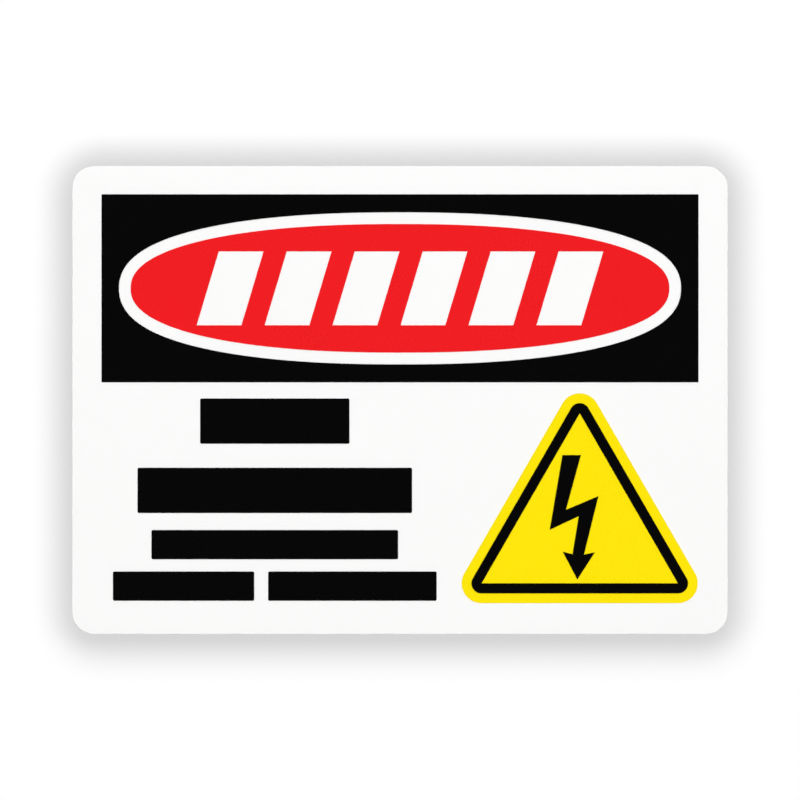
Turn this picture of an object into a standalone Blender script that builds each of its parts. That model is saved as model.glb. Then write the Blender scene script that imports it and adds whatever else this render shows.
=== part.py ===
"""Electrical hazard sign: a stiff aluminium blank with a white face and cut colour films on it.

The sign stands upright. X runs across it, Z runs up it, and its face looks towards -Y. The origin is
the centre of the back, which is the face that is fixed to a wall, a door or a pole bracket. Slanted
windows fill the middle of the red oval, and plain bars fill the message field.
"""
import math

import bmesh
import bpy
from mathutils import Matrix, Vector

# Blank, in metres
PLATE_WIDTH = 0.3556
PLATE_HEIGHT = 0.254
PLATE_THICKNESS = 0.0016
CORNER_RADIUS = 0.012
# The width of the break along the rims, which are the edges that turn by more than the rim angle
EDGE_BREAK = 0.0002
RIM_ANGLE = math.radians(45)

# Films: their thickness, and the adhesive layer under each of them
FILM_THICKNESS = 0.0001
ADHESIVE_GAP = 0.0003

# Bare borders between the edge of the blank and the colour fields
SIDE_MARGIN = 0.016
TOP_MARGIN = 0.0155
FOOT_MARGIN = 0.0169

# Black header and the oval in it
HEADER_HEIGHT = 0.1019
OVAL_SIDE_CLEARANCE = 0.0094
OVAL_TOP_CLEARANCE = 0.0097
RING_WIDTH = 0.0064
OVAL_POWER = 2.28

# Slanted windows in the red oval, and how much of their pitch is open
STRIPE_COUNT = 6
STRIPE_OPEN_SHARE = 0.66
STRIPE_LEAN = math.radians(16.7)
STRIPE_SIDE_CLEARANCE = 0.0357
STRIPE_TOP_CLEARANCE = 0.0148

# Warning triangle at the lower right, and how far its corner stays inside the header's right end
TRIANGLE_HEAD_CLEARANCE = 0.006
TRIANGLE_SIDE_INSET = 0.0004
YELLOW_MARGIN = 0.0053
BORDER_WIDTH = 0.00545

# Lightning arrow: its corners in shares of its height, counted from its tip
ARROW_TOP_CLEARANCE = 0.0227
ARROW_FOOT_CLEARANCE = 0.0021
ARROW_OFFSET = -0.0013
ARROW_CORNERS = (
    (-0.120, 1.000), (0.028, 1.000), (-0.092, 0.560), (0.169, 0.670), (0.053, 0.199), (0.140, 0.218),
    (0.000, 0.000), (-0.118, 0.224), (-0.039, 0.202), (0.011, 0.509), (-0.222, 0.400),
)

# Message field at the lower left, between the header's left edge and the triangle
MESSAGE_INSET = 0.0062
MESSAGE_CLEARANCE = 0.0136
BAR_GAP = 0.0076
BAR_CORNER = 0.0008
# How much of its line's height a bar fills
BAR_SHARE = 0.86
# Each line from the top down: the gap above it in metres, then three shares. The first is its height
# against the tallest line's, the second its width against the field's, and the third how its bars divide
# that width.
MESSAGE_LINES = (
    (0.0068, 1.000, 0.461, (1.0,)),
    (0.0091, 1.000, 0.848, (1.0,)),
    (0.0060, 0.646, 0.762, (1.0,)),
    (0.0041, 0.646, 1.000, (0.456, 0.544)),
)

# Points on each quarter of the oval and on each rounded corner, and cuts across a broken edge
OVAL_STEPS = 48
CORNER_STEPS = 12
EDGE_STEPS = 2

# Finishes: a name, a colour in linear light, and how rough and how metallic the surface is
ENAMEL = ("white_enamel", (0.90, 0.90, 0.89), 0.30, 0.0)
BLACK_FILM = ("black_film", (0.008, 0.008, 0.008), 0.40, 0.0)
RED_FILM = ("red_film", (0.855, 0.014, 0.018), 0.40, 0.0)
YELLOW_FILM = ("yellow_film", (0.95, 0.76, 0.004), 0.40, 0.0)

# Places that several pieces share, measured from the centre of the blank
HEADER_WIDTH = PLATE_WIDTH - 2 * SIDE_MARGIN
HEADER_TOP = PLATE_HEIGHT / 2 - TOP_MARGIN
HEADER_FOOT = HEADER_TOP - HEADER_HEIGHT
HEADER_MIDDLE = (HEADER_TOP + HEADER_FOOT) / 2
FIELD_FOOT = -PLATE_HEIGHT / 2 + FOOT_MARGIN
OVAL_HALF_WIDTH = HEADER_WIDTH / 2 - OVAL_SIDE_CLEARANCE - RING_WIDTH
OVAL_HALF_HEIGHT = HEADER_HEIGHT / 2 - OVAL_TOP_CLEARANCE - RING_WIDTH

YELLOW_REACH = BORDER_WIDTH + YELLOW_MARGIN
TRIANGLE_HEIGHT = HEADER_FOOT - FIELD_FOOT - TRIANGLE_HEAD_CLEARANCE - 2 * YELLOW_REACH
TRIANGLE_SIDE = TRIANGLE_HEIGHT / math.sin(math.radians(60))
TRIANGLE_X = HEADER_WIDTH / 2 - TRIANGLE_SIDE_INSET - YELLOW_REACH - TRIANGLE_SIDE / 2
TRIANGLE_FOOT = FIELD_FOOT + YELLOW_REACH

FIRST_LAYER = PLATE_THICKNESS + ADHESIVE_GAP
SECOND_LAYER = FIRST_LAYER + FILM_THICKNESS + ADHESIVE_GAP


def clear_scene():
    """Remove every object of the scene that is open."""
    for item in list(bpy.data.objects):
        bpy.data.objects.remove(item, do_unlink=True)


def make_material(name, colour, roughness, metallic):
    """Return a finish as a material."""
    material = bpy.data.materials.new(name)
    material.use_nodes = True
    shader = material.node_tree.nodes["Principled BSDF"]
    shader.inputs["Base Color"].default_value = (*colour, 1.0)
    shader.inputs["Roughness"].default_value = roughness
    shader.inputs["Metallic"].default_value = metallic
    material.diffuse_color = (*colour, 1.0)
    return material


def rectangle(width, height):
    """Return the corners of a rectangle around the origin, anticlockwise."""
    x, y = width / 2, height / 2
    return [Vector((-x, -y)), Vector((x, -y)), Vector((x, y)), Vector((-x, y))]


def triangle():
    """Return the corners of the warning triangle's inner edge, from the middle of its base."""
    half = TRIANGLE_SIDE / 2
    return [Vector((-half, 0.0)), Vector((half, 0.0)), Vector((0.0, TRIANGLE_HEIGHT))]


def outward(corners, distance):
    """Return the outline that runs the given distance outside a convex one, round at its corners."""
    points = []
    for before, corner, after in zip(corners[-1:] + corners[:-1], corners, corners[1:] + corners[:1]):
        arriving, leaving = corner - before, after - corner
        start = Vector((arriving.y, -arriving.x)).normalized() * distance
        turn = -arriving.angle_signed(leaving)
        for step in range(CORNER_STEPS + 1):
            points.append(corner + Matrix.Rotation(turn * step / CORNER_STEPS, 2) @ start)
    return points


def rounded_rectangle(width, height, radius):
    """Return the outline of a rectangle with round corners."""
    return outward(rectangle(width - 2 * radius, height - 2 * radius), radius)


def signed_power(value, exponent):
    """Return the power of a value's size, with the value's sign."""
    return math.copysign(abs(value) ** exponent, value)


def oval(grow=0.0):
    """Return the outline of the red oval, or the one that runs the given distance outside it.

    The oval is fuller than an ellipse: |x/a|^p + |y/b|^p = 1 with p above 2.
    """
    points = []
    for step in range(4 * OVAL_STEPS):
        angle = 2 * math.pi * step / (4 * OVAL_STEPS)
        across = signed_power(math.cos(angle), 2 / OVAL_POWER)
        up = signed_power(math.sin(angle), 2 / OVAL_POWER)
        normal = Vector((
            signed_power(across, OVAL_POWER - 1) / OVAL_HALF_WIDTH,
            signed_power(up, OVAL_POWER - 1) / OVAL_HALF_HEIGHT,
        )).normalized()
        points.append(Vector((across * OVAL_HALF_WIDTH, up * OVAL_HALF_HEIGHT)) + grow * normal)
    return points


def stripe_windows():
    """Return the outlines of the slanted windows, evenly spaced across the middle of the oval."""
    height = 2 * (OVAL_HALF_HEIGHT - STRIPE_TOP_CLEARANCE)
    lean = height * math.tan(STRIPE_LEAN)
    width = 2 * (OVAL_HALF_WIDTH - STRIPE_SIDE_CLEARANCE) - lean
    pitch = width / (STRIPE_COUNT - 1 + STRIPE_OPEN_SHARE)
    windows = []
    for number in range(STRIPE_COUNT):
        left = -(width + lean) / 2 + number * pitch
        right = left + pitch * STRIPE_OPEN_SHARE
        windows.append([
            Vector((left, -height / 2)), Vector((right, -height / 2)),
            Vector((right + lean, height / 2)), Vector((left + lean, height / 2)),
        ])
    return windows


def cut_film(name, outlines, place, layer, material, sign, collection):
    """Add one cut film. The first outline is its edge, and the others are windows in it."""
    curve = bpy.data.curves.new(name, "CURVE")
    curve.dimensions = "2D"
    curve.fill_mode = "BOTH"
    curve.extrude = FILM_THICKNESS / 2
    for outline in outlines:
        spline = curve.splines.new("POLY")
        spline.points.add(len(outline) - 1)
        for point, corner in zip(spline.points, outline):
            point.co = (corner.x, corner.y, 0.0, 1.0)
        spline.use_cyclic_u = True
    curve.materials.append(material)
    film = bpy.data.objects.new(name, curve)
    film.parent = sign
    film.location = (place[0], place[1], layer + FILM_THICKNESS / 2)
    collection.objects.link(film)
    return film


def add_blank(material, sign, collection):
    """Add the sheared blank: a slab with round corners whose rims are lightly broken."""
    mesh = bpy.data.meshes.new("sign_plate")
    shape = bmesh.new()
    size = Matrix.Diagonal((PLATE_WIDTH, PLATE_HEIGHT, PLATE_THICKNESS, 1.0))
    bmesh.ops.create_cube(shape, size=1.0, matrix=size)
    corners = [
        edge for edge in shape.edges
        if abs(edge.verts[0].co.z - edge.verts[1].co.z) > PLATE_THICKNESS / 2
    ]
    bmesh.ops.bevel(
        shape, geom=corners, offset=CORNER_RADIUS, segments=CORNER_STEPS, profile=0.5, affect="EDGES",
    )
    shape.to_mesh(mesh)
    shape.free()
    mesh.materials.append(material)
    plate = bpy.data.objects.new("sign_plate", mesh)
    plate.parent = sign
    plate.location = (0.0, 0.0, PLATE_THICKNESS / 2)
    collection.objects.link(plate)
    rims = plate.modifiers.new("broken rims", "BEVEL")
    rims.width = EDGE_BREAK
    rims.segments = EDGE_STEPS
    rims.limit_method = "ANGLE"
    rims.angle_limit = RIM_ANGLE


def add_header(black, red, sign, collection):
    """Add the black header with its oval opening, and the striped red oval in that opening."""
    place = (0.0, HEADER_MIDDLE)
    outlines = [rectangle(HEADER_WIDTH, HEADER_HEIGHT), oval(RING_WIDTH)]
    cut_film("header_field", outlines, place, FIRST_LAYER, black, sign, collection)
    cut_film("signal_oval", [oval(), *stripe_windows()], place, FIRST_LAYER, red, sign, collection)


def add_triangle(yellow, black, sign, collection):
    """Add the yellow triangle, and the border and lightning arrow that lie on it."""
    place = (TRIANGLE_X, TRIANGLE_FOOT)
    edge = outward(triangle(), YELLOW_REACH)
    cut_film("warning_triangle", [edge], place, FIRST_LAYER, yellow, sign, collection)
    border = [outward(triangle(), BORDER_WIDTH), triangle()]
    cut_film("triangle_border", border, place, SECOND_LAYER, black, sign, collection)
    height = TRIANGLE_HEIGHT - ARROW_TOP_CLEARANCE - ARROW_FOOT_CLEARANCE
    drawn_height = max(corner[1] for corner in ARROW_CORNERS)
    arrow = [Vector(corner) * height / drawn_height for corner in ARROW_CORNERS]
    tip = (TRIANGLE_X + ARROW_OFFSET, TRIANGLE_FOOT + ARROW_FOOT_CLEARANCE)
    cut_film("lightning_arrow", [arrow], tip, SECOND_LAYER, black, sign, collection)


def add_message(black, sign, collection):
    """Add the plain bars of the message field, centred in lines from the header down to the foot margin."""
    left = -HEADER_WIDTH / 2 + MESSAGE_INSET
    right = TRIANGLE_X - TRIANGLE_SIDE / 2 - YELLOW_REACH - MESSAGE_CLEARANCE
    gaps = sum(line[0] for line in MESSAGE_LINES)
    tallest = (HEADER_FOOT - FIELD_FOOT - gaps) / sum(line[1] for line in MESSAGE_LINES)
    top = HEADER_FOOT
    for number, (gap, height_share, width_share, bar_shares) in enumerate(MESSAGE_LINES, start=1):
        top -= gap
        height = tallest * height_share
        line_width = (right - left) * width_share
        bars_width = line_width - BAR_GAP * (len(bar_shares) - 1)
        start = (left + right - line_width) / 2
        for letter, share in zip("ab", bar_shares):
            bar = rounded_rectangle(bars_width * share, height * BAR_SHARE, BAR_CORNER)
            place = (start + bars_width * share / 2, top - height / 2)
            cut_film(f"message_bar_{number}{letter}", [bar], place, FIRST_LAYER, black, sign, collection)
            start += bars_width * share + BAR_GAP
        top -= height


def main():
    """Build the sign."""
    clear_scene()
    collection = bpy.data.collections.new("high_voltage_sign")
    bpy.context.scene.collection.children.link(collection)
    sign = bpy.data.objects.new("sign_face", None)
    sign.rotation_euler = (math.pi / 2, 0.0, 0.0)
    collection.objects.link(sign)
    black = make_material(*BLACK_FILM)
    red = make_material(*RED_FILM)
    yellow = make_material(*YELLOW_FILM)
    add_blank(make_material(*ENAMEL), sign, collection)
    add_header(black, red, sign, collection)
    add_triangle(yellow, black, sign, collection)
    add_message(black, sign, collection)


main()
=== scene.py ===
"""Dress the electrical hazard sign: an enamelled aluminium blank, cut colour films and a plain studio.

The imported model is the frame. The blank and each film are modelled afresh in the box of their own solid,
with X across the sign, Z up it and its face towards -Y. Sizes are in metres, and colours in linear light.
"""

import logging
import math
from collections.abc import Callable, Iterable, Iterator
from contextlib import contextmanager
from dataclasses import dataclass, field
from enum import Enum
from functools import reduce
from operator import add

import bmesh
import bpy
from mathutils import Matrix, Vector


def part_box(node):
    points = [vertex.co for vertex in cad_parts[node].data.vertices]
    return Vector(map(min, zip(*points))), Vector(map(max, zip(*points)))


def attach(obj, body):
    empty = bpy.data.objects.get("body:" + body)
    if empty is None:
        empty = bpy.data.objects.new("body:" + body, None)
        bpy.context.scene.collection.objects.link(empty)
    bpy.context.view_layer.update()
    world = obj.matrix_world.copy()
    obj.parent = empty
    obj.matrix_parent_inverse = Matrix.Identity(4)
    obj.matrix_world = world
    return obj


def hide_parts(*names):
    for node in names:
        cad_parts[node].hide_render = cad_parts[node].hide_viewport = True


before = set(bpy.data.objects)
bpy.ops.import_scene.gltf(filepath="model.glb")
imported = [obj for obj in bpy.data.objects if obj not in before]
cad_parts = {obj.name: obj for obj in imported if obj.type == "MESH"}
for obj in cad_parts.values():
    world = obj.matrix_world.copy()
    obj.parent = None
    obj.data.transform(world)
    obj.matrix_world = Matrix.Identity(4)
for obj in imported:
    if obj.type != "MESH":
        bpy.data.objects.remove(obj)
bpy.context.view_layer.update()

log = logging.getLogger("hazard_sign")

Colour = tuple[float, float, float]
Span = tuple[float, float]
Outline = list[Vector]

BODY = "root"
WHITE = (1.0, 1.0, 1.0, 1.0)
# What keeps a film's back off the surface that carries it
BOND_LINE = 0.00001
# How near two places lie that count as the same
NEAR = 0.00001
# A rim is an edge that turns by more than this
RIM_ANGLE = math.radians(50.0)
# A quarter turn about X stands a plane, a lamp or the camera upright, looking along Y
UPRIGHT = math.pi / 2


# Shader maths


class Value:
    """A shader socket that takes part in Python expressions."""

    def __init__(self, graph: "Graph", socket: bpy.types.NodeSocket) -> None:
        """Wrap a socket of a graph."""
        self.graph = graph
        self.socket = socket

    def maths(self, operation: str, first: "Number", second: "Number") -> "Value":
        """Return the result of a Math node on two values or numbers."""
        return self.graph.add("ShaderNodeMath", {"operation": operation}, {0: first, 1: second})

    def __add__(self, other: "Number") -> "Value":
        """Return self + other."""
        return self.maths("ADD", self, other)

    def __radd__(self, other: "Number") -> "Value":
        """Return other + self."""
        return self.maths("ADD", other, self)

    def __sub__(self, other: "Number") -> "Value":
        """Return self - other."""
        return self.maths("SUBTRACT", self, other)

    def __rsub__(self, other: "Number") -> "Value":
        """Return other - self."""
        return self.maths("SUBTRACT", other, self)

    def __mul__(self, other: "Number") -> "Value":
        """Return self * other."""
        return self.maths("MULTIPLY", self, other)

    def __rmul__(self, other: "Number") -> "Value":
        """Return other * self."""
        return self.maths("MULTIPLY", other, self)

    def __truediv__(self, other: "Number") -> "Value":
        """Return self / other."""
        return self.maths("DIVIDE", self, other)

    def __abs__(self) -> "Value":
        """Return self without its sign."""
        return self.maths("ABSOLUTE", self, 0.0)

    def largest(self, other: "Number") -> "Value":
        """Return the larger of self and other."""
        return self.maths("MAXIMUM", self, other)


Number = Value | float
Sockets = dict[str, Value | float]


class Graph:
    """The node tree of one material or world, with its nodes added as expressions."""

    def __init__(self, tree: bpy.types.NodeTree) -> None:
        """Empty a node tree and take it over."""
        self.tree = tree
        self.tree.nodes.clear()

    def add(self, kind: str, settings: dict | None = None, inputs: dict | None = None,
            output: int | str = 0) -> Value:
        """Add a node.

        Args:
            kind: The node's type.
            settings: The node's own settings, set before its sockets.
            inputs: Values, numbers or colours by socket name or number.
            output: The socket to return, by name or number.

        Returns:
            The wanted output of the new node.
        """
        node = self.tree.nodes.new(kind)
        for name, setting in (settings or {}).items():
            setattr(node, name, setting)
        for name, value in (inputs or {}).items():
            if isinstance(value, Value):
                self.tree.links.new(value.socket, node.inputs[name])
            else:
                node.inputs[name].default_value = value
        return Value(self, node.outputs[output] if node.outputs else None)

    def place(self) -> Value:
        """Return the place of the shaded point on the object, in metres."""
        return self.add("ShaderNodeTexCoord", output="Object")

    def part(self, vector: Value, axis: str) -> Value:
        """Return a vector's part along X, Y or Z."""
        return self.add("ShaderNodeSeparateXYZ", None, {"Vector": vector}, axis)

    def stretched(self, vector: Value, scale: tuple[float, float, float]) -> Value:
        """Return a vector with each of its parts multiplied by its own number."""
        return self.add("ShaderNodeVectorMath", {"operation": "MULTIPLY"}, {0: vector, 1: scale})

    def noise(self, vector: Value, pitch: float, octaves: float) -> Value:
        """Return a noise between 0 and 1, with spots of a pitch in metres and some finer octaves."""
        inputs = {"Vector": vector, "Scale": 1.0 / pitch, "Detail": octaves}
        return self.add("ShaderNodeTexNoise", {"noise_dimensions": "3D"}, inputs)

    def ramp(self, value: Value, span: Span) -> Value:
        """Return a smooth step from 0 at the start of a span to 1 at its end."""
        inputs = {"Value": value, "From Min": span[0], "From Max": span[1]}
        return self.add("ShaderNodeMapRange", {"interpolation_type": "SMOOTHSTEP"}, inputs)

    def blend(self, share: Value, first: Colour, second: Colour) -> Value:
        """Return a colour between two, the second one where the share is 1."""
        # The Mix node's sockets for colours share their names with others, so they go by number
        inputs = {0: share, 6: (*first, 1.0), 7: (*second, 1.0)}
        return self.add("ShaderNodeMix", {"data_type": "RGBA"}, inputs, 2)

    def relief(self, height: Value) -> Value:
        """Return a normal that is bent by a height in metres."""
        return self.add("ShaderNodeBump", None, {"Strength": 1.0, "Distance": 1.0, "Height": height})

    def matt(self, grey: float) -> Value:
        """Return a matt shader that gives back a share of the light."""
        return self.add("ShaderNodeBsdfDiffuse", None, {"Color": (grey, grey, grey, 1.0)})

    def white_light(self, strength: Number) -> Value:
        """Return a shader that gives off white light."""
        return self.add("ShaderNodeEmission", None, {"Color": WHITE, "Strength": strength})

    def cover(self, share: Value, under: Value, over: Value) -> Value:
        """Return a shader that is covered by another one where the share is 1."""
        return self.add("ShaderNodeMixShader", None, {0: share, 1: under, 2: over})


def total(values: Iterable[Value]) -> Value:
    """Return the sum of some values."""
    return reduce(add, values)


def between(first: Number, second: Number, share: Value) -> Value:
    """Return what lies a share of the way from the first value or number to the second."""
    return first + (second - first) * share


def scaled(colour: Colour, factor: float) -> Colour:
    """Return a colour made darker or lighter."""
    return (colour[0] * factor, colour[1] * factor, colour[2] * factor)


def new_material(name: str, paint: Callable[[Graph], Value]) -> bpy.types.Material:
    """Make a material.

    Args:
        name: Its name.
        paint: Adds its nodes to an empty graph, and returns its shader.

    Returns:
        The material.
    """
    material = bpy.data.materials.new(name)
    material.use_nodes = True
    graph = Graph(material.node_tree)
    graph.add("ShaderNodeOutputMaterial", None, {"Surface": paint(graph)})
    return material


# Finishes


@dataclass(frozen=True, kw_only=True)
class Grain:
    """One scale of unevenness, and how far it changes a finish's shade, roughness and relief."""

    pitch: float
    octaves: float = 2.0
    # Less than 1 along an axis draws the grain out that way
    stretch: tuple[float, float, float] = (1.0, 1.0, 1.0)
    # The part of the noise that is drawn out over the whole range
    contrast: Span | None = None
    shade: float = 0.0
    roughness: float = 0.0
    height: float = 0.0

    def level(self, graph: Graph) -> Value:
        """Return how strong the grain is at the shaded point, between 0 and 1."""
        noise = graph.noise(graph.stretched(graph.place(), self.stretch), self.pitch, self.octaves)
        return graph.ramp(noise, self.contrast) if self.contrast else noise


@dataclass(frozen=True, kw_only=True)
class Finish:
    """A surface finish, which says what feeds its shader."""

    name: str
    colour: Colour
    roughness: float
    metallic: float = 0.0
    specular: float = 0.5

    def sockets(self, graph: Graph) -> Sockets:
        """Return what feeds the finish's shader, by socket name."""
        raise NotImplementedError

    def shader(self, graph: Graph) -> Value:
        """Return the finish's shader."""
        constants = {"Metallic": self.metallic, "Specular IOR Level": self.specular}
        return graph.add("ShaderNodeBsdfPrincipled", None, constants | self.sockets(graph))

    def material(self) -> bpy.types.Material:
        """Return the finish as a material."""
        return new_material(self.name, self.shader)


@dataclass(frozen=True, kw_only=True)
class GrainedFinish(Finish):
    """A finish whose grains change its shade, roughness and relief all over."""

    shade_change: float
    grains: tuple[Grain, ...]

    def sockets(self, graph: Graph) -> Sockets:
        """Return what feeds the finish's shader.

        Args:
            graph: The graph of the finish's material.

        Returns:
            Values by socket name.
        """
        levels = [(grain, grain.level(graph)) for grain in self.grains]
        shade = total(grain.shade * level for grain, level in levels if grain.shade)
        rough = total(grain.roughness * (level - 0.5) for grain, level in levels if grain.roughness)
        height = total(grain.height * level for grain, level in levels if grain.height)
        return {
            "Base Color": graph.blend(shade, scaled(self.colour, 1.0 - self.shade_change), self.colour),
            "Roughness": self.roughness + rough,
            "Normal": graph.relief(height),
        }


@dataclass(frozen=True, kw_only=True)
class BakedEnamel(GrainedFinish):
    """Baked white enamel: even and smooth, with faint clouds, a fine orange peel and soft sags."""

    name: str = "baked_enamel"
    colour: Colour = (0.935, 0.935, 0.930)
    roughness: float = 0.22
    shade_change: float = 0.012
    grains: tuple[Grain, ...] = (
        Grain(pitch=0.060, shade=1.0, roughness=0.05),
        Grain(pitch=0.0020, octaves=1.0, roughness=0.06, height=0.0000030),
        Grain(pitch=0.022, octaves=1.0, height=0.000018),
    )


@dataclass(frozen=True, kw_only=True)
class CutFilm(GrainedFinish):
    """Cast film of one even colour, with a fine satin skin that follows the adhesive bed under it."""

    roughness: float = 0.29
    specular: float = 0.35
    shade_change: float = 0.05
    grains: tuple[Grain, ...] = (
        Grain(pitch=0.045, shade=1.0, roughness=0.06),
        Grain(pitch=0.0008, octaves=3.0, roughness=0.10, height=0.0000005),
        Grain(pitch=0.014, height=0.000012),
    )


# Rolling draws the metal's grain out along the sheet's long side
ROLLED = (0.012, 1.0, 1.0)


@dataclass(frozen=True, kw_only=True)
class MillAluminium(GrainedFinish):
    """Bare rolled aluminium: fine lines, streaks and broad bands along the roll, and a faint mottle."""

    name: str = "mill_aluminium"
    colour: Colour = (0.80, 0.81, 0.82)
    roughness: float = 0.26
    metallic: float = 1.0
    shade_change: float = 0.29
    grains: tuple[Grain, ...] = (
        Grain(pitch=0.0007, stretch=ROLLED, shade=0.35, roughness=0.14, height=0.0000040),
        Grain(pitch=0.0022, stretch=ROLLED, contrast=(0.28, 0.72), shade=0.25, roughness=0.08,
              height=0.0000060),
        Grain(pitch=0.012, stretch=ROLLED, contrast=(0.30, 0.70), shade=0.20),
        Grain(pitch=0.050, octaves=3.0, shade=0.20, roughness=0.10),
        Grain(pitch=0.0018, height=0.0000012),
    )


@dataclass(frozen=True, kw_only=True)
class ShearedEdge(Finish):
    """The cut edge of the sheet: burnished by the blade near the face, and torn behind that."""

    name: str = "sheared_edge"
    colour: Colour = (0.78, 0.79, 0.80)
    roughness: float = 0.24
    metallic: float = 1.0
    # The Y of the sheet's face and back
    face: float
    back: float
    # Where the torn part begins and where it is fully torn, in shares of the sheet's thickness
    torn_span: Span = (0.36, 0.46)
    torn_roughness: float = 0.24
    torn_shade: float = 0.7
    torn_cover: float = 0.6
    scores: Grain = Grain(pitch=0.0005, stretch=(1.0, 0.08, 1.0), roughness=0.10, height=0.0000080)
    tears: Grain = Grain(pitch=0.00035, octaves=3.0, height=0.000020)

    def sockets(self, graph: Graph) -> Sockets:
        """Return what feeds the cut metal's shader.

        Args:
            graph: The graph of the finish's material.

        Returns:
            Values by socket name.
        """
        depth = (graph.part(graph.place(), "Y") - self.face) / (self.back - self.face)
        torn = graph.ramp(depth, self.torn_span)
        scores, tears = self.scores.level(graph), self.tears.level(graph)
        dark = self.torn_cover * torn * tears
        rough = self.roughness + self.torn_roughness * torn
        return {
            "Base Color": graph.blend(dark, self.colour, scaled(self.colour, self.torn_shade)),
            "Roughness": rough + self.scores.roughness * (scores - 0.5),
            "Normal": graph.relief(self.scores.height * scores + self.tears.height * torn * tears),
        }


class Ink(Enum):
    """The colours that the films are cut from, each with its slot in the record and its colour."""

    BLACK = ("black_film", (0.0015, 0.0015, 0.0015))
    RED = ("red_film", (0.850, 0.0110, 0.0145))
    YELLOW = ("yellow_film", (0.975, 0.775, 0.0015))

    @property
    def slot(self) -> str:
        """Return the record's slot for this colour."""
        return self.value[0]

    def finish(self) -> CutFilm:
        """Return the finish of a film of this colour."""
        return CutFilm(name=f"cast_{self.slot}", colour=self.value[1])


# Outlines in the plane of the face, with X across and the second part up


def parallel_outline(corners: Outline, reach: float, steps: int) -> Outline:
    """Return the outline that runs outside a convex one and turns its corners as arcs.

    Args:
        corners: The convex outline, anticlockwise.
        reach: How far outside it the new outline runs.
        steps: Chords in each arc.

    Returns:
        The new outline, anticlockwise.
    """
    points = []
    for before, corner, after in zip(corners[-1:] + corners[:-1], corners, corners[1:] + corners[:1]):
        arriving, leaving = corner - before, after - corner
        start = Vector((arriving.y, -arriving.x)).normalized() * reach
        turn = -arriving.angle_signed(leaving)
        points += [corner + Matrix.Rotation(turn * step / steps, 2) @ start for step in range(steps + 1)]
    return points


@dataclass(frozen=True)
class Oval:
    """An oval that is fuller than an ellipse: |x/a|^p + |y/b|^p = 1."""

    centre: Vector
    half_width: float
    half_height: float
    power: float = 2.28
    quarter_steps: int = 72

    def outline(self, grow: float = 0.0) -> Outline:
        """Return the oval's outline, or one that runs outside it.

        Args:
            grow: How far outside the oval the outline runs.

        Returns:
            The outline, anticlockwise.
        """
        points = []
        for step in range(4 * self.quarter_steps):
            angle = math.tau * step / (4 * self.quarter_steps)
            across = self.signed_power(math.cos(angle), 2.0 / self.power)
            up = self.signed_power(math.sin(angle), 2.0 / self.power)
            outward = Vector((
                self.signed_power(across, self.power - 1.0) / self.half_width,
                self.signed_power(up, self.power - 1.0) / self.half_height,
            )).normalized()
            rim = self.centre + Vector((across * self.half_width, up * self.half_height))
            points.append(rim + grow * outward)
        return points

    @staticmethod
    def signed_power(value: float, exponent: float) -> float:
        """Return the power of a value's size, with the value's sign."""
        return math.copysign(abs(value) ** exponent, value)


# Modelling steps


class Pick(Enum):
    """What a selection in edit mode is made of."""

    EDGES = "EDGE"
    FACES = "FACE"


def deselect_all() -> None:
    """Leave nothing selected in object mode."""
    bpy.ops.object.select_all(action="DESELECT")


def take_up(piece: bpy.types.Object) -> None:
    """Select one piece in object mode, and nothing else.

    Args:
        piece: The piece.
    """
    deselect_all()
    bpy.context.view_layer.objects.active = piece
    piece.select_set(True)


@contextmanager
def editing(piece: bpy.types.Object) -> Iterator[None]:
    """Hold a piece open in edit mode with nothing in it selected.

    Args:
        piece: The piece.

    Yields:
        Nothing, while the piece is open.
    """
    take_up(piece)
    bpy.ops.object.mode_set(mode="EDIT")
    bpy.ops.mesh.select_all(action="DESELECT")
    yield
    bpy.ops.object.mode_set(mode="OBJECT")


def select(piece: bpy.types.Object, pick: Pick, wanted: Callable[..., bool]) -> None:
    """Select the wanted elements of the piece that is in edit mode, and nothing else.

    Args:
        piece: The piece.
        pick: Whether edges or faces are selected.
        wanted: Says of one such element whether it is selected.
    """
    bpy.ops.mesh.select_mode(type=pick.value)
    bpy.ops.mesh.select_all(action="DESELECT")
    mesh = bmesh.from_edit_mesh(piece.data)
    for element in mesh.edges if pick is Pick.EDGES else mesh.faces:
        if wanted(element):
            element.select_set(True)
    mesh.select_flush_mode()
    bmesh.update_edit_mesh(piece.data)


def runs_back(edge: bmesh.types.BMEdge) -> bool:
    """Say whether an edge runs from the face to the back rather than along either."""
    along = edge.verts[0].co - edge.verts[1].co
    return abs(along.y) > abs(along.x) + abs(along.z)


def cut_slab(name: str, low: Vector, high: Vector, radius: float, steps: int) -> bpy.types.Object:
    """Cut a slab from a box, with the corners of its outline rounded.

    Args:
        name: The piece's name.
        low: The lowest corner of the box.
        high: The highest corner of the box.
        radius: The radius of the rounded corners, seen from the front.
        steps: Faces round each of them.

    Returns:
        The slab.
    """
    deselect_all()
    bpy.ops.mesh.primitive_cube_add(size=1.0, location=(low + high) / 2, scale=high - low)
    piece = bpy.context.object
    piece.name = name
    piece.data.name = name
    bpy.ops.object.transform_apply(location=True, rotation=True, scale=True)
    with editing(piece):
        select(piece, Pick.EDGES, runs_back)
        bpy.ops.mesh.bevel(offset=radius, segments=steps, profile=0.5, affect="EDGES")
    return piece


def cut_sheet(name: str, outline: Outline, front: float) -> bpy.types.Object:
    """Cut a flat sheet: a filled circle whose rim is laid along an outline.

    Args:
        name: The piece's name.
        outline: The sheet's outline, anticlockwise seen from the front.
        front: The Y of the sheet's plane.

    Returns:
        The sheet, with no thickness yet.
    """
    deselect_all()
    bpy.ops.mesh.primitive_circle_add(vertices=len(outline), radius=1.0, fill_type="NGON")
    piece = bpy.context.object
    piece.name = name
    piece.data.name = name
    for vertex, point in zip(piece.data.vertices, outline):
        vertex.co = (point.x, front, point.y)
    return piece


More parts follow.
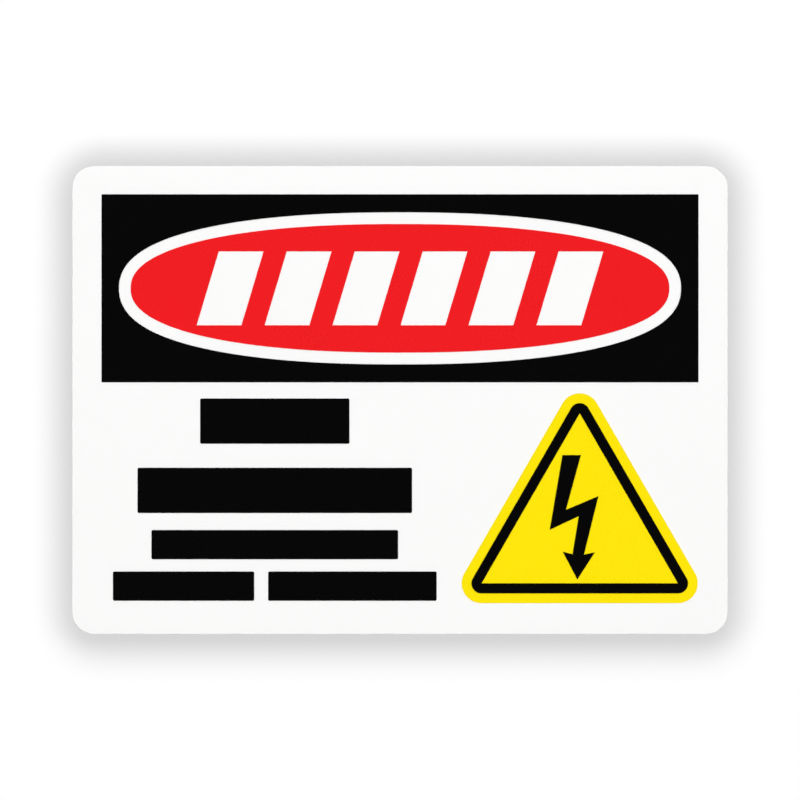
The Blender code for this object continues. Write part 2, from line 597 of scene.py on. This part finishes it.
def cut_ring(name: str, outline: Outline, front: float, width: float) -> bpy.types.Object:
    """Cut a flat ring: a sheet is inset by the ring's width, and its middle is taken out.

    Args:
        name: The piece's name.
        outline: The ring's outer outline, anticlockwise seen from the front.
        front: The Y of the ring's plane.
        width: The ring's width.

    Returns:
        The ring, with no thickness yet.
    """
    ring = cut_sheet(name, outline, front)
    with editing(ring):
        bpy.ops.mesh.select_all(action="SELECT")
        bpy.ops.mesh.inset(thickness=width, depth=0.0)
        bpy.ops.mesh.delete(type="FACE")
    return ring


def thicken(piece: bpy.types.Object, depth: float) -> None:
    """Extrude a flat sheet backwards into a closed solid that faces outwards.

    Args:
        piece: The sheet.
        depth: How far it is extruded.
    """
    with editing(piece):
        bpy.ops.mesh.select_all(action="SELECT")
        bpy.ops.mesh.extrude_region_move(TRANSFORM_OT_translate={"value": (0.0, depth, 0.0)})
        bpy.ops.mesh.select_all(action="SELECT")
        bpy.ops.mesh.normals_make_consistent(inside=False)


def soften_rims(piece: bpy.types.Object, width: float, steps: int) -> None:
    """Round every rim of a solid a little, and keep its flat faces flat in shading.

    Args:
        piece: The solid.
        width: The width of the rounding.
        steps: Faces across the rounding.
    """
    take_up(piece)
    bpy.ops.object.shade_smooth()
    rims = piece.modifiers.new("soft rims", "BEVEL")
    rims.width = width
    rims.segments = steps
    rims.limit_method = "ANGLE"
    rims.angle_limit = RIM_ANGLE
    rims.harden_normals = True
    bpy.ops.object.modifier_apply(modifier=rims.name)


def put_in_frame(piece: bpy.types.Object, node: str, slot: str) -> bpy.types.Object:
    """Put a finished piece in the frame in place of its solid.

    Args:
        piece: The finished piece, with its place in its mesh.
        node: The solid that it stands for.
        slot: The record's material slot; not used.

    Returns:
        The piece.
    """
    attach(piece, BODY)
    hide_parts(node)
    return piece


# The sign


@dataclass
class SignBlank:
    """The sheared aluminium blank, enamelled on its face and bare at its back and edges."""

    node: str = "sign_plate"
    slot: str = "white_enamel"
    corner_radius: float = 0.012
    corner_steps: int = 24
    # The blade rolls the rim of the face over, and leaves the rim of the back with a small break
    roll_radius: float = 0.00035
    roll_steps: int = 4
    break_width: float = 0.00012
    break_steps: int = 2
    smooth_angle: float = math.radians(15.0)
    # The enamel ends where the rolled rim has turned this far, and the bare back begins at this
    enamel_end: float = -0.3
    back_start: float = 0.9
    enamel: Finish = field(default_factory=BakedEnamel)
    metal: Finish = field(default_factory=MillAluminium)

    def __post_init__(self) -> None:
        """Read the blank's place from the frame."""
        self.low, self.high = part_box(self.node)

    @property
    def face(self) -> float:
        """Return the Y of the enamelled face."""
        return self.low.y

    def build(self) -> list[bpy.types.Object]:
        """Model the blank and dress it.

        Returns:
            The blank, as the only piece of a list.
        """
        piece = cut_slab("enamelled_blank", self.low, self.high, self.corner_radius, self.corner_steps)
        self.bevel_rim(piece, self.low.y, self.roll_radius, self.roll_steps)
        self.bevel_rim(piece, self.high.y, self.break_width, self.break_steps)
        take_up(piece)
        bpy.ops.object.shade_smooth_by_angle(angle=self.smooth_angle)
        self.dress(piece)
        return [put_in_frame(piece, self.node, self.slot)]

    @staticmethod
    def bevel_rim(piece: bpy.types.Object, plane: float, width: float, steps: int) -> None:
        """Bevel the rim that runs round the face or round the back.

        Args:
            piece: The blank.
            plane: The Y of that side.
            width: The bevel's width.
            steps: Faces across the bevel.
        """
        with editing(piece):
            select(piece, Pick.EDGES, lambda edge: all(abs(end.co.y - plane) < NEAR for end in edge.verts))
            bpy.ops.mesh.bevel(offset=width, segments=steps, profile=0.5, affect="EDGES")

    def dress(self, piece: bpy.types.Object) -> None:
        """Enamel the face and the rolled rim, and leave the back and the cut edge bare.

        Args:
            piece: The blank.
        """
        edge = ShearedEdge(face=self.low.y, back=self.high.y)
        for finish in (self.enamel, self.metal, edge):
            piece.data.materials.append(finish.material())
        for side in piece.data.polygons:
            if side.normal.y < self.enamel_end:
                side.material_index = 0
            elif side.normal.y > self.back_start:
                side.material_index = 1
            else:
                side.material_index = 2


@dataclass
class Film:
    """What every cut film shares: its solid, its colour, and what it is stuck to."""

    name: str
    node: str
    ink: Ink
    # The Y of the surface that carries it
    seat: float
    rim_width: float = 0.00005
    rim_steps: int = 2

    def __post_init__(self) -> None:
        """Read the film's place from the frame."""
        self.low, self.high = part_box(self.node)

    @property
    def face(self) -> float:
        """Return the Y of the film's face."""
        return self.low.y

    @property
    def depth(self) -> float:
        """Return the film's thickness, from its face back to what carries it."""
        return self.seat - BOND_LINE - self.face

    @property
    def centre(self) -> Vector:
        """Return the film's centre in the plane of its face."""
        return Vector(((self.low.x + self.high.x) / 2, (self.low.z + self.high.z) / 2))

    @property
    def half(self) -> Vector:
        """Return half the film's width and half its height."""
        return Vector(((self.high.x - self.low.x) / 2, (self.high.z - self.low.z) / 2))

    def lay(self, piece: bpy.types.Object) -> bpy.types.Object:
        """Round the rims of a film a little, give it its finish, and put it in the frame.

        Args:
            piece: The film as a solid.

        Returns:
            The finished film.
        """
        soften_rims(piece, self.rim_width, self.rim_steps)
        piece.data.materials.append(self.ink.finish().material())
        return put_in_frame(piece, self.node, self.ink.slot)

    def lay_sheet(self, sheet: bpy.types.Object) -> bpy.types.Object:
        """Give a flat sheet the film's thickness, and lay it."""
        thicken(sheet, self.depth)
        return self.lay(sheet)


@dataclass(frozen=True)
class SlantedWindows:
    """The row of slanted windows across the middle of the oval."""

    oval: Oval
    count: int = 6
    open_share: float = 0.66
    lean: float = math.radians(16.7)
    side_clearance: float = 0.0357
    top_clearance: float = 0.0148

    @property
    def slope(self) -> float:
        """Return how far the windows lean across for each metre up."""
        return math.tan(self.lean)

    @property
    def half_height(self) -> float:
        """Return half the height of the band that the windows take."""
        return self.oval.half_height - self.top_clearance

    @property
    def sides(self) -> list[Span]:
        """Return where each window begins and ends at the oval's middle height.

        Returns:
            The distances from the oval's centre, a pair for each window.
        """
        half_width = self.oval.half_width - self.side_clearance - self.half_height * self.slope
        pitch = 2 * half_width / (self.count - 1 + self.open_share)
        starts = [number * pitch - half_width for number in range(self.count)]
        return [(start, start + pitch * self.open_share) for start in starts]

    def in_band(self, face: bmesh.types.BMFace) -> bool:
        """Say whether a face lies in the band that the windows take."""
        return abs(face.calc_center_median().z - self.oval.centre.y) < self.half_height

    def in_window(self, face: bmesh.types.BMFace) -> bool:
        """Say whether a face is one of the windows.

        Args:
            face: A face of the oval, once it is bisected along the sides of the windows.

        Returns:
            Whether it is to be taken out.
        """
        place = face.calc_center_median()
        across = place.x - self.oval.centre.x - (place.z - self.oval.centre.y) * self.slope
        return self.in_band(face) and any(start < across < end for start, end in self.sides)

    def cut(self, sheet: bpy.types.Object) -> None:
        """Bisect a flat oval along the edges of its windows, and take the windows out.

        Args:
            sheet: The oval.
        """
        middle = self.oval.centre
        with editing(sheet):
            for up in (-self.half_height, self.half_height):
                bpy.ops.mesh.select_all(action="SELECT")
                bpy.ops.mesh.bisect(plane_co=(0.0, 0.0, middle.y + up), plane_no=(0.0, 0.0, 1.0))
            for side in (side for window in self.sides for side in window):
                place = (middle.x + side, 0.0, middle.y)
                select(sheet, Pick.FACES, self.in_band)
                bpy.ops.mesh.bisect(plane_co=place, plane_no=(1.0, 0.0, -self.slope))
            select(sheet, Pick.FACES, self.in_window)
            bpy.ops.mesh.delete(type="FACE")


@dataclass
class Header:
    """The black header with its oval opening, and the striped red oval in that opening."""

    seat: float
    # The white ring that shows between the two films
    ring_width: float = 0.0064

    def __post_init__(self) -> None:
        """Read the places of both films from the frame."""
        self.black = Film("black_header", "header_field", Ink.BLACK, self.seat)
        self.red = Film("striped_oval", "signal_oval", Ink.RED, self.seat)
        self.oval = Oval(self.red.centre, *self.red.half)

    def build(self) -> list[bpy.types.Object]:
        """Model both films."""
        return [self.black.lay_sheet(self.cut_header()), self.red.lay_sheet(self.cut_oval())]

    def cut_header(self) -> bpy.types.Object:
        """Cut the header: the rim of the opening is extruded outwards to the header's straight edges.

        Returns:
            The flat header.
        """
        opening = self.oval.outline(self.ring_width)
        sheet = cut_sheet(self.black.name, opening, self.black.face)
        with editing(sheet):
            bpy.ops.mesh.select_all(action="SELECT")
            bpy.ops.mesh.delete(type="ONLY_FACE")
            bpy.ops.mesh.select_all(action="SELECT")
            bpy.ops.mesh.extrude_edges_move(TRANSFORM_OT_translate={"value": (0.0, 0.0, 0.0)})
        for vertex, point in zip(sheet.data.vertices[len(opening):], self.header_edge(opening)):
            vertex.co = (point.x, self.black.face, point.y)
        return sheet

    def header_edge(self, opening: Outline) -> Outline:
        """Return the header's edge, with a point for each point of the opening.

        Args:
            opening: The outline of the opening.

        Returns:
            For each of its points the one that lies straight outside it, and in place of the nearest
            ones the header's corners.
        """
        centre, half = self.black.centre, self.black.half
        edge = []
        for point in opening:
            ray = point - centre
            reach = min(half[axis] / abs(ray[axis]) for axis in (0, 1) if abs(ray[axis]) > NEAR)
            edge.append(centre + ray * reach)
        for across, up in ((-1, -1), (-1, 1), (1, -1), (1, 1)):
            corner = centre + Vector((across * half.x, up * half.y))
            nearest = min(range(len(edge)), key=lambda number: (edge[number] - corner).length)
            edge[nearest] = corner
        return edge

    def cut_oval(self) -> bpy.types.Object:
        """Cut the red oval and its windows.

        Returns:
            The flat oval.
        """
        sheet = cut_sheet(self.red.name, self.oval.outline(), self.red.face)
        SlantedWindows(self.oval).cut(sheet)
        return sheet


@dataclass
class HazardTriangle:
    """The yellow triangle, and the black border and lightning arrow that are stuck on it."""

    seat: float
    border_width: float = 0.00545
    corner_steps: int = 32
    # In border widths: how near each other the inner edge's points are merged, and how near a corner
    # they are moved onto it
    merge_reach: float = 0.05
    corner_reach: float = 0.25
    # The arrow's corners in shares of its height, counted from its tip
    arrow_corners: tuple[tuple[float, float], ...] = (
        (-0.120, 1.000), (0.028, 1.000), (-0.092, 0.560), (0.169, 0.670), (0.053, 0.199), (0.140, 0.218),
        (0.000, 0.000), (-0.118, 0.224), (-0.039, 0.202), (0.011, 0.509), (-0.222, 0.400),
    )

    def __post_init__(self) -> None:
        """Read the places of the three films from the frame."""
        self.yellow = Film("yellow_triangle", "warning_triangle", Ink.YELLOW, self.seat)
        self.border = Film("black_border", "triangle_border", Ink.BLACK, self.yellow.face)
        self.arrow = Film("lightning_figure", "lightning_arrow", Ink.BLACK, self.yellow.face)

    @property
    def corners(self) -> Outline:
        """Return the corners of the border's inner edge.

        Returns:
            The left, the right and the top corner.
        """
        low, high, width = self.border.low, self.border.high, self.border_width
        foot = low.z + width
        top = Vector((self.border.centre.x, high.z - width))
        return [Vector((low.x + width, foot)), Vector((high.x - width, foot)), top]

    def build(self) -> list[bpy.types.Object]:
        """Model the three films.

        Returns:
            The field, the border and the arrow.
        """
        return [
            self.yellow.lay_sheet(self.cut_field()),
            self.border.lay_sheet(self.cut_border()),
            self.arrow.lay_sheet(self.cut_arrow()),
        ]

    def cut_field(self) -> bpy.types.Object:
        """Cut the yellow field, whose corners are arcs round the corners of the border's inner edge.

        Returns:
            The flat field.
        """
        reach = self.corners[0].y - self.yellow.low.z
        outline = parallel_outline(self.corners, reach, self.corner_steps)
        return cut_sheet(self.yellow.name, outline, self.yellow.face)

    def cut_border(self) -> bpy.types.Object:
        """Cut the border, whose inner edge has sharp corners.

        Returns:
            The flat border, with the points round each inner corner merged into that corner.
        """
        outline = parallel_outline(self.corners, self.border_width, self.corner_steps)
        sheet = cut_ring(self.border.name, outline, self.border.face, self.border_width)
        with editing(sheet):
            bpy.ops.mesh.select_all(action="SELECT")
            bpy.ops.mesh.remove_doubles(threshold=self.border_width * self.merge_reach)
        near_corner = self.border_width * self.corner_reach
        for vertex in sheet.data.vertices:
            for corner in self.corners:
                if (Vector((vertex.co.x, vertex.co.z)) - corner).length < near_corner:
                    vertex.co = (corner.x, self.border.face, corner.y)
        return sheet

    def cut_arrow(self) -> bpy.types.Object:
        """Cut the lightning arrow at the size of its solid.

        Returns:
            The flat arrow.
        """
        low, height = self.arrow.low, self.arrow.high.z - self.arrow.low.z
        leftmost = min(across for across, _ in self.arrow_corners)
        tip = Vector((low.x - leftmost * height, low.z))
        outline = [tip + Vector(corner) * height for corner in self.arrow_corners]
        return cut_sheet(self.arrow.name, outline, self.arrow.face)


@dataclass
class MessageField:
    """The plain bars at the lower left."""

    seat: float
    node_start: str = "message_bar"
    corner_radius: float = 0.0008
    corner_steps: int = 8

    def build(self) -> list[bpy.types.Object]:
        """Model a bar for each bar of the frame.

        Returns:
            The bars.
        """
        bars = []
        for node in sorted(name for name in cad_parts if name.startswith(self.node_start)):
            film = Film(node.replace("message", "black"), node, Ink.BLACK, self.seat)
            back = Vector((film.high.x, film.face + film.depth, film.high.z))
            bar = cut_slab(film.name, film.low, back, self.corner_radius, self.corner_steps)
            bars.append(film.lay(bar))
        return bars


# The studio


def add_plane(name: str, size: float, place: Vector, tilt: float) -> bpy.types.Object:
    """Add a square plane to the stage. Gloss doesn't show it.

    Args:
        name: Its name.
        size: The length of its sides.
        place: Its centre.
        tilt: How far it is turned about X from lying flat.

    Returns:
        The plane.
    """
    deselect_all()
    bpy.ops.mesh.primitive_plane_add(size=size, location=place, rotation=(tilt, 0.0, 0.0))
    plane = bpy.context.object
    plane.name = name
    plane.visible_glossy = False
    return plane


@dataclass
class Wall:
    """A white wall close behind the sign, which takes its soft shadow.

    It glows evenly, so that the shadow stays pale from any side. It blocks no light, it is clear from
    behind and edge-on, and away from the sign it is pure white.
    """

    blank: SignBlank
    gap: float = 0.0149
    size: float = 3.0
    # Its own light, and the share that it gives back of the light that falls on it
    glow: float = 0.623
    grey: float = 0.355
    # Between these distances from the sign's centre it turns pure white
    white_span: Span = (0.25, 0.40)
    # Between these it turns clear, counted from 0 where it is seen face-on to 1 where it is edge-on
    clear_span: Span = (0.70, 0.85)

    def build(self) -> None:
        """Stand the wall behind the sign."""
        place = Vector((0.0, self.blank.high.y + self.gap, 0.0))
        wall = add_plane("studio_wall", self.size, place, UPRIGHT)
        wall.visible_diffuse = False
        wall.visible_transmission = False
        wall.visible_shadow = False
        wall.data.materials.append(new_material("white_wall", self.paint))

    def paint(self, graph: Graph) -> Value:
        """Return the wall's shader.

        Args:
            graph: The graph of its material.

        Returns:
            The shader.
        """
        lights = {0: graph.matt(self.grey), 1: graph.white_light(self.glow)}
        near = graph.add("ShaderNodeAddShader", None, lights)
        away = graph.add("ShaderNodeVectorMath", {"operation": "LENGTH"}, {0: graph.place()}, "Value")
        front = graph.cover(graph.ramp(away, self.white_span), near, graph.white_light(1.0))
        behind = graph.add("ShaderNodeNewGeometry", output="Backfacing")
        edge_on = graph.ramp(graph.add("ShaderNodeLayerWeight", output="Facing"), self.clear_span)
        clear = graph.add("ShaderNodeBsdfTransparent", None, {"Color": WHITE})
        return graph.cover(behind.largest(edge_on), front, clear)


@dataclass
class Flag:
    """A narrow flag round the sign, level with its back. It widens the sign's shadow, and isn't seen."""

    blank: SignBlank
    width: float = 0.0117
    corner_steps: int = 24

    def build(self) -> None:
        """Hold the flag where only light on its way to the wall meets it."""
        low, high, radius = self.blank.low, self.blank.high, self.blank.corner_radius
        left, right, foot, top = low.x + radius, high.x - radius, low.z + radius, high.z - radius
        corners = [Vector(place) for place in ((left, foot), (right, foot), (right, top), (left, top))]
        outline = parallel_outline(corners, radius + self.width, self.corner_steps)
        flag = cut_ring("studio_flag", outline, high.y, self.width)
        flag.visible_camera = False
        flag.visible_diffuse = False
        flag.visible_glossy = False
        flag.visible_transmission = False


@dataclass
class Floor:
    """A plain pale floor well below the sign, which the camera sees as pure white."""

    drop: float = 3.0
    size: float = 12.0
    grey: float = 0.6

    def build(self) -> None:
        """Lay the floor."""
        floor = add_plane("studio_floor", self.size, Vector((0.0, 0.0, -self.drop)), 0.0)
        floor.data.materials.append(new_material("pale_floor", self.paint))

    def paint(self, graph: Graph) -> Value:
        """Return the floor's shader, which is pure white to the camera alone."""
        seen = graph.add("ShaderNodeLightPath", output="Is Camera Ray")
        return graph.cover(seen, graph.matt(self.grey), graph.white_light(1.0))


@dataclass
class Softbox:
    """One large softbox in front. Matt surfaces take its light, and gloss doesn't show it."""

    width: float = 8.13
    height: float = 8.20
    distance: float = 5.00
    rise: float = 1.60
    level: float = 2.13

    def build(self) -> None:
        """Hang the softbox, as bright for each square metre at any size."""
        lamp = bpy.data.lights.new("softbox", "AREA")
        lamp.shape = "RECTANGLE"
        lamp.size = self.width
        lamp.size_y = self.height
        lamp.energy = self.level * math.pi * self.width * self.height
        lamp.cycles.use_multiple_importance_sampling = False
        holder = bpy.data.objects.new("softbox", lamp)
        holder.location = (0.0, -self.distance, self.rise)
        holder.rotation_euler = (UPRIGHT, 0.0, 0.0)
        holder.visible_camera = False
        holder.visible_glossy = False
        bpy.context.scene.collection.objects.link(holder)


@dataclass
class World:
    """The world: white for the camera, soft grey in front for matt surfaces, and graded for gloss."""

    ambient: float = 0.133
    # How bright gloss finds it: straight ahead of the sign, in front of it, and low and high behind it
    shine_ahead: float = 0.02
    shine_front: float = 0.50
    shine_low: float = 0.40
    shine_high: float = 1.0
    # How much a direction's lean to the side counts as height, behind the sign
    side_share: float = 0.6
    # Where one of these gives way to the next, by how far a direction points back, or by its height
    ahead_span: Span = (-0.92, -0.55)
    height_span: Span = (-0.15, 0.55)
    behind_span: Span = (0.0, 0.5)
    ambient_span: Span = (0.1, -0.1)

    def build(self) -> None:
        """Make the world."""
        world = bpy.data.worlds.new("white_world")
        bpy.context.scene.world = world
        world.use_nodes = True
        graph = Graph(world.node_tree)
        inputs = {"Color": WHITE, "Strength": self.strength(graph)}
        light = graph.add("ShaderNodeBackground", None, inputs)
        graph.add("ShaderNodeOutputWorld", None, {"Surface": light})

    def strength(self, graph: Graph) -> Value:
        """Return the world's strength for any ray.

        Args:
            graph: The world's graph.

        Returns:
            The strength.
        """
        direction = graph.add("ShaderNodeTexCoord", output="Generated")
        back = graph.part(direction, "Y")
        ambient = self.ambient * graph.ramp(back, self.ambient_span)
        seen = graph.add("ShaderNodeLightPath", output="Is Camera Ray")
        gloss = graph.add("ShaderNodeLightPath", output="Is Glossy Ray")
        bounces = graph.add("ShaderNodeLightPath", output="Diffuse Depth")
        straight = gloss * (1.0 - bounces).largest(0.0)
        return between(between(ambient, self.shine(graph, direction, back), straight), 1.0, seen)

    def shine(self, graph: Graph, direction: Value, back: Value) -> Value:
        """Return how bright gloss finds the world.

        Args:
            graph: The world's graph.
            direction: The direction that gloss looks in.
            back: How far that direction points back, from -1 straight ahead of the sign to 1 behind it.

        Returns:
            The strength.
        """
        front = between(self.shine_ahead, self.shine_front, graph.ramp(back, self.ahead_span))
        height = graph.part(direction, "Z") + self.side_share * abs(graph.part(direction, "X"))
        behind = between(self.shine_low, self.shine_high, graph.ramp(height, self.height_span))
        return between(front, behind, graph.ramp(back, self.behind_span))


@dataclass
class PhotoCamera:
    """The camera, straight in front of the face and as far off as the photograph's framing needs."""

    blank: SignBlank
    lens: float = 85.0
    sensor: float = 36.0
    # The photograph is square, and the blank takes this many of its pixels across
    photo_pixels: float = 800.0
    blank_pixels: float = 655.8

    def build(self) -> None:
        """Point the camera at the middle of the face."""
        low, high = self.blank.low, self.blank.high
        view_width = (high.x - low.x) * self.photo_pixels / self.blank_pixels
        distance = view_width * self.lens / self.sensor
        camera = bpy.data.cameras.new("camera")
        camera.lens = self.lens
        camera.sensor_width = self.sensor
        holder = bpy.data.objects.new("camera", camera)
        holder.location = ((low.x + high.x) / 2, self.blank.face - distance, (low.z + high.z) / 2)
        holder.rotation_euler = (UPRIGHT, 0.0, 0.0)
        bpy.context.scene.collection.objects.link(holder)
        bpy.context.scene.camera = holder


@dataclass
class Studio:
    """The wall, the flag, the floor, the softbox, the world and the camera."""

    blank: SignBlank

    def build(self) -> None:
        """Set up the studio round the sign, and show colours as they are written."""
        blank = self.blank
        for part in (Wall(blank), Flag(blank), Floor(), Softbox(), World(), PhotoCamera(blank)):
            part.build()
        bpy.context.scene.view_settings.view_transform = "Standard"


def main() -> None:
    """Build the sign and its studio, and report each piece."""
    logging.basicConfig(level=logging.INFO, format="%(message)s")
    blank = SignBlank()
    for assembly in (blank, Header(blank.face), HazardTriangle(blank.face), MessageField(blank.face)):
        for piece in assembly.build():
            log.info("%s is ready, with %d faces", piece.name, len(piece.data.polygons))
    Studio(blank).build()
    log.info("the studio is ready")


if __name__ == "__main__":
    main()
